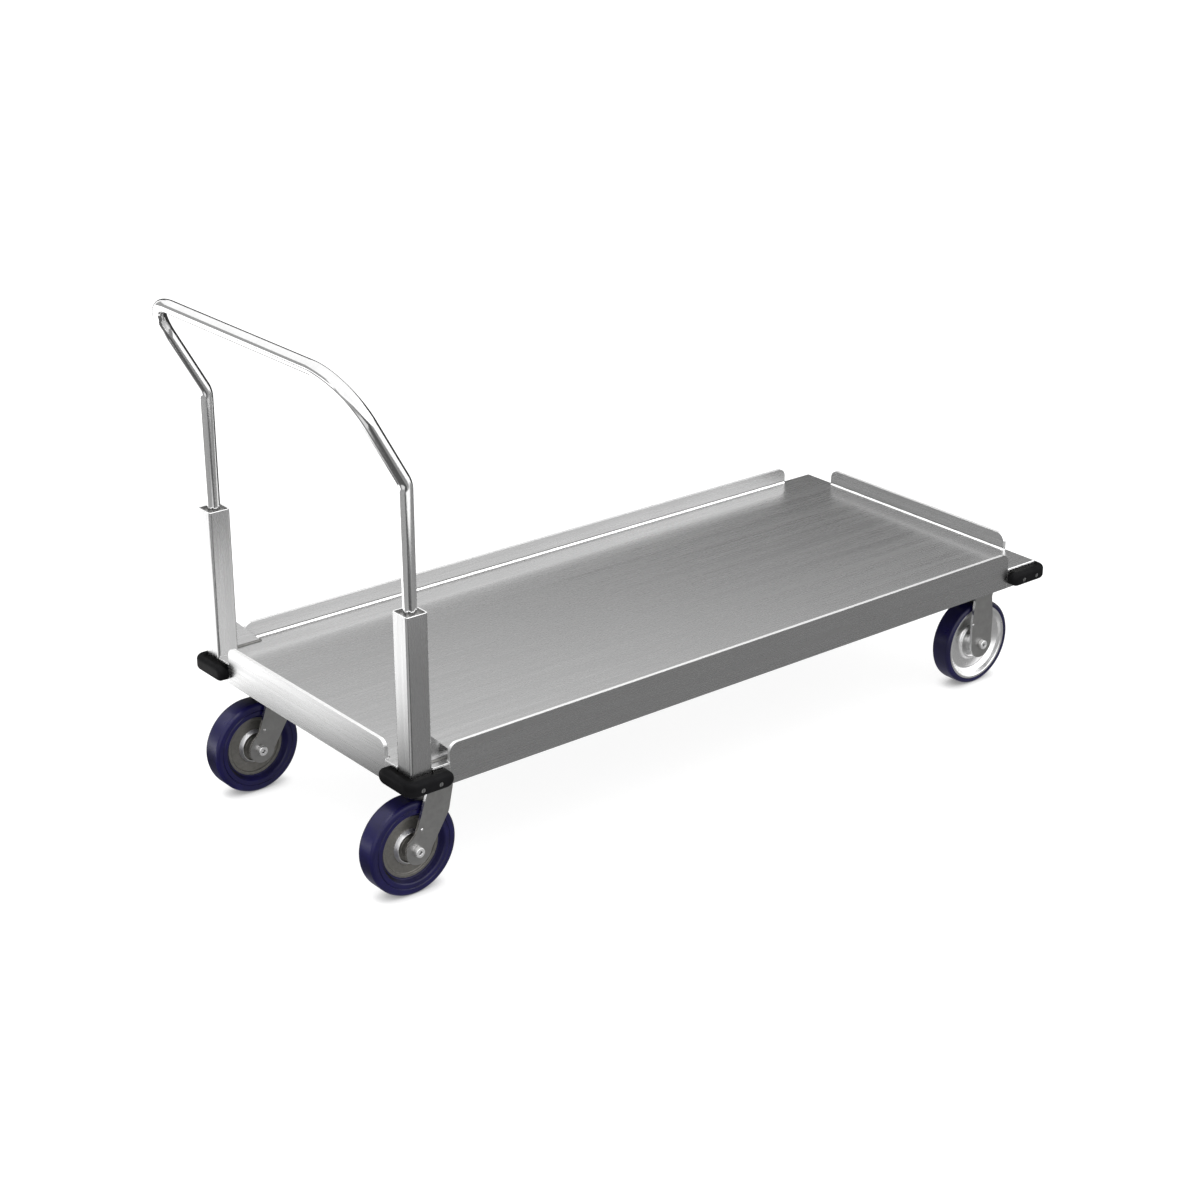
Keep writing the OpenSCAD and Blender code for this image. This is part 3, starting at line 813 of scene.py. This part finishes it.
def swivel_fork(side):
    """A swivel fork: legs, crown and the lower race of its ball ring."""
    node = "swivel_fork_" + side
    joint = next(j for j in frame["joints"] if j["name"] == "swivel_turn_" + side)
    axle_at = centre("rear_tread_" + side)
    at = Vector((joint["pos_m"][0], joint["pos_m"][1], 0))
    crown_z, race_z, groove_z = 0.229, 0.2475, 0.2462
    bore_r = 0.0081
    bm = bmesh.new()
    add_legs(bm, swivel_leg_outline(at.x - axle_at.x, axle_at.z), at)
    add_plate(bm, [rectangle(0.030, FORK_FACE, 0.002)], FORK_PLATE_T, Matrix.Translation(at + Z * crown_z))
    race = rounded([(bore_r, crown_z, 0.0005), (0.040, crown_z, 0.0005), (0.040, race_z, 0.002),
                    (0.0355, race_z, 0.0008), (0.034, groove_z, 0.001), (0.028, groove_z, 0.001),
                    (0.0265, race_z, 0.0008), (bore_r, race_z, 0.0005)], steps=3)
    add_lathe(bm, race, Matrix.Translation((at.x, at.y, 0)))
    for out in (-Y, Y):
        add_button(bm, axle_at + X * 0.011 + Z * 0.044 + out * FORK_FACE, out, 0.003, 0.0012)
    obj = mesh_object(node + "_pressing", bm)
    soften(obj, 0.0008, 2, edge_index=1)
    shade(obj)
    return put(obj, "swivel_" + side, [ZINC, ZINC_EDGE], [node])


def fixed_fork(side):
    """A fixed fork: legs and the plate that is bolted under the deck."""
    node = "fixed_fork_" + side
    at = centre("front_tread_" + side)
    origin = Vector((at.x, at.y, 0))
    size = span(node)
    under_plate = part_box(node)[1].z - FORK_PLATE_T
    bolt_x, bolt_y, bolt_r = 0.033, 0.046, 0.005
    bm = bmesh.new()
    add_legs(bm, fixed_leg_outline(under_plate, at.z), origin)
    holes = [arc((sx * bolt_x, sy * bolt_y), bolt_r, 0, 345, 23) for sx in (-1, 1) for sy in (-1, 1)]
    add_plate(bm, [rectangle(size.x / 2, size.y / 2, 0.008)] + holes, FORK_PLATE_T,
              Matrix.Translation(origin + Z * under_plate))
    for out in (-Y, Y):
        add_button(bm, at - X * 0.031 + Z * 0.056 + out * FORK_FACE, out, 0.0028, 0.0012)
    obj = mesh_object(node + "_pressing", bm)
    soften(obj, 0.0008, 2, edge_index=1)
    shade(obj)
    return put(obj, "deck", [ZINC, ZINC_EDGE], [node])


def add_axle(bm, at):
    """The axle bolt: round head with a socket at +Y, its shank to the nut."""
    middle, end, socket = 0.0001, AXLE_HEAD_END, 0.006
    profile = rounded([(middle, -SHANK_END), (AXLE_R, -SHANK_END), (AXLE_R, FORK_FACE),
                       (AXLE_HEAD_R, FORK_FACE), (AXLE_HEAD_R, end, 0.0014), (SOCKET_R, end, 0.0006),
                       (SOCKET_R, end - socket), (middle, end - socket - 0.0018)], steps=4)
    add_lathe(bm, profile, wheel_place(at), segments=48)


def add_axle_nut(bm, at):
    """The round nut at -Y, open at its outer end."""
    end = -AXLE_HEAD_END
    profile = rounded([(AXLE_R, -FORK_FACE), (AXLE_HEAD_R, -FORK_FACE), (AXLE_HEAD_R, end, 0.0014),
                       (SOCKET_R, end, 0.0006), (SOCKET_R, -SHANK_END), (AXLE_R, -SHANK_END)], steps=4)
    add_lathe(bm, profile, wheel_place(at), segments=48)


def axle(name, places, body, nodes, adder):
    """One piece with an axle bolt or nut at each place."""
    bm = bmesh.new()
    for at in places:
        adder(bm, at)
    obj = mesh_object(name, bm)
    shade(obj, 40)
    return put(obj, body, [FASTENER], nodes)


# ---------- stage ----------

def emission(name, strength, ramp=None):
    """Plain light, or light that rises along one axis: ramp is (axis, start, end, strength at the end)."""
    mat = bpy.data.materials.new(name)
    mat.use_nodes = True
    tree = mat.node_tree
    tree.nodes.clear()
    out = tree.nodes.new("ShaderNodeOutputMaterial")
    em = tree.nodes.new("ShaderNodeEmission")
    em.inputs["Strength"].default_value = strength
    tree.links.new(em.outputs[0], out.inputs[0])
    if ramp:
        axis, start, end, last = ramp
        at = tree.nodes.new("ShaderNodeSeparateXYZ")
        tree.links.new(tree.nodes.new("ShaderNodeTexCoord").outputs["Object"], at.inputs[0])
        rise = tree.nodes.new("ShaderNodeMapRange")
        tree.links.new(at.outputs[axis], rise.inputs["Value"])
        for socket, v in (("From Min", start), ("From Max", end), ("To Min", strength), ("To Max", last)):
            rise.inputs[socket].default_value = v
        tree.links.new(rise.outputs[0], em.inputs["Strength"])
    return mat


def stage_mesh(name, corners, faces, mat):
    """A part of the stage, which belongs to no body."""
    mesh = bpy.data.meshes.new(name)
    mesh.from_pydata([tuple(c) for c in corners], [], faces)
    mesh.materials.append(mat)
    obj = bpy.data.objects.new(name, mesh)
    bpy.context.scene.collection.objects.link(obj)
    return obj


def only_in_reflections(card):
    """Hides a card from everything but glossy rays."""
    card.visible_camera = False
    card.visible_diffuse = False
    card.visible_shadow = False
    card.visible_transmission = False
    card.visible_volume_scatter = False
    return card


def floor_card(name, xs, ys, z, strength, ramp=None):
    """A card lying at floor level, between two values of x and of y."""
    (x0, x1), (y0, y1) = xs, ys
    corners = [(x0, y0, z), (x1, y0, z), (x1, y1, z), (x0, y1, z)]
    return only_in_reflections(stage_mesh(name, corners, [range(4)], emission(name, strength, ramp)))


def wall_card(name, azimuths, elevations, radius, strength):
    """A card bent round the cart, between two azimuths and two elevations in degrees."""
    middle = 0.6
    low, high = (middle + radius * math.tan(math.radians(e)) for e in elevations)
    n = 12
    corners, faces = [], []
    for i in range(n + 1):
        a = math.radians(azimuths[0] + (azimuths[1] - azimuths[0]) * i / n)
        x, y = radius * math.cos(a), radius * math.sin(a)
        corners += [(x, y, low), (x, y, high)]
        if i:
            faces.append((2 * i - 2, 2 * i - 1, 2 * i + 1, 2 * i))
    return only_in_reflections(stage_mesh(name, corners, faces, emission(name, strength)))


def floor():
    """A pale glowing floor with a painted contact shadow: its glow drops close to what stands on it."""
    g = Graph("floor")
    # Painted contact shadow: ambient occlusion within this reach dims the floor's emission
    contact_shadow = g.add("ShaderNodeAmbientOcclusion", {"Distance": CONTACT_SHADOW_REACH}, samples=8)
    g.set(Base_Color=grey(0.25), Roughness=0.9, Emission_Color=grey(1.0),
          Emission_Strength=g.spread(contact_shadow.outputs["AO"], 0.1, 0.9, 0.2, 0.86))
    s = 14
    obj = stage_mesh("floor", [(-s, -s, 0), (s, -s, 0), (s, s, 0), (-s, s, 0)], [range(4)], g.material)
    obj.visible_glossy = False
    return obj


def world():
    """An even pale sky."""
    w = bpy.data.worlds.new("studio")
    bpy.context.scene.world = w
    w.use_nodes = True
    back = w.node_tree.nodes["Background"]
    back.inputs["Color"].default_value = grey(1.0)
    back.inputs["Strength"].default_value = SKY


def softbox(name, at, target, size, power):
    """A wide area light turned to its target."""
    data = bpy.data.lights.new(name, "AREA")
    data.shape = "RECTANGLE"
    data.size, data.size_y = size
    data.energy = power
    obj = bpy.data.objects.new(name, data)
    obj.location = at
    obj.rotation_mode = "QUATERNION"
    obj.rotation_quaternion = (Vector(target) - Vector(at)).to_track_quat("-Z", "Y")
    bpy.context.scene.collection.objects.link(obj)
    return obj


def camera():
    """The camera, placed from the deck's rear right corner."""
    data = bpy.data.cameras.new("camera")
    data.sensor_width, data.lens = 36, CAMERA_LENS
    data.clip_end = 60
    cam = bpy.data.objects.new("camera", data)
    lo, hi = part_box("deck_plate")
    place = Matrix(CAMERA_TURN).to_4x4()
    place.translation = Vector((lo.x, lo.y, hi.z)) + Vector(CAMERA_FROM_CORNER)
    cam.matrix_world = place
    bpy.context.scene.collection.objects.link(cam)
    bpy.context.scene.camera = cam


def reflected_floor():
    """Mats and bright patches at floor level, which give the metal its dark and light streaks."""
    lo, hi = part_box("deck_plate")
    far = 12
    mat_left, mat_front = -4, lo.y - 2.07
    behind = lo.x - 0.02
    glow_left, glow_back = -2.08, -0.2
    floor_card("front_mat", (mat_left, 3.2), (mat_front, hi.y), -0.02, 0.12, ("X", -0.96, -0.86, 0.34))
    floor_card("corner_glow", (glow_left, -1.42), (-1.3, glow_back), -0.015, 0.95)
    floor_card("side_mat", (-0.86, 0.2), (hi.y, 1.15), -0.02, 0.15)
    floor_card("left_end", (mat_left, glow_left), (-1.75, 3), -0.004, 0.45)
    floor_card("leaning_shade", (-1.15, -0.84), (glow_back, 0.75), -0.005, 0.14)
    floor_card("front_floor", (-far, far), (-far, mat_front), -0.03, 1.7)
    floor_card("rear_floor", (-far, behind), (glow_back, far), -0.01, 0.15, ("Y", 0.08, 0.6, 2.4))


def reflected_walls():
    """A dark wall behind the deck, a grey one on the left and a bright sky in front."""
    wall_card("back_wall", (-14, 84), (-40, 22.5), 8, 0.04)
    wall_card("left_wall", (96, 176), (-16, 18), 8, 0.45)
    wall_card("front_sky", (-105, -16), (5, 50), 9, 2.4)


def studio():
    """Floor, sky, one soft light and the cards that the metal reflects."""
    world()
    floor()
    softbox("key", (-1.5, -1.0, 3.6), (0, 0, 0.3), (3.0, 2.0), 60)
    reflected_floor()
    reflected_walls()
    bpy.context.scene.view_settings.view_transform = "Standard"


# ---------- the cart ----------

def cart():
    """Every piece of the cart."""
    cad_piece("deck_plate", STAINLESS["X"], EDGE, 0.0013, 3)
    for node, along in (("rail_right", "X"), ("rail_left", "X"), ("rail_rear", "Y"), ("rail_front", "Y")):
        rail(node, along)
    for end in ENDS:
        cad_piece("channel_" + end, ZINC, ZINC_EDGE)
        for side in SIDES:
            cad_piece(f"skirt_{end}_{side}", STAINLESS["X"], EDGE)
            bumper(end, side)
            wheel(end, side)
    cad_piece("stiffeners", ZINC, ZINC_EDGE)
    cad_piece("bumper_screws", SCREW, width=0.0002)
    for side in SIDES:
        post(side)
        gusset(side)
        cad_piece("post_guide_" + side, ZINC)
        cad_piece("handle_socket_" + side, ZINC)
        cad_piece("swivel_plate_" + side, ZINC, ZINC_EDGE)
        cad_piece("rear_bushing_" + side, BEARING, width=0)
        swivel_fork(side)
        fixed_fork(side)
        at = centre("rear_tread_" + side)
        axle("rear_axle_bolt_" + side, [at], "swivel_" + side, ["rear_axle_" + side], add_axle)
        axle("rear_axle_cap_" + side, [at], "swivel_" + side, ["rear_axle_nut_" + side], add_axle_nut)
    fronts = [centre("front_tread_" + s) for s in SIDES]
    axle("front_axle_bolts", fronts, "deck", ["front_axles"], add_axle)
    axle("front_axle_caps", fronts, "deck", ["front_axle_nuts"], add_axle_nut)
    cad_piece("front_bushings", BEARING, width=0)
    for node in ("caster_bolts", "caster_nuts", "kingpin_nuts"):
        cad_piece(node, FASTENER, width=0.0004)
    cad_piece("kingpins", ZINC, width=0.0004)
    balls = cad_piece("swivel_balls", BEARING, width=0)
    balls.data.shade_smooth()
    rail_welds()
    gusset_welds()
    handle()


cart()
studio()
camera()
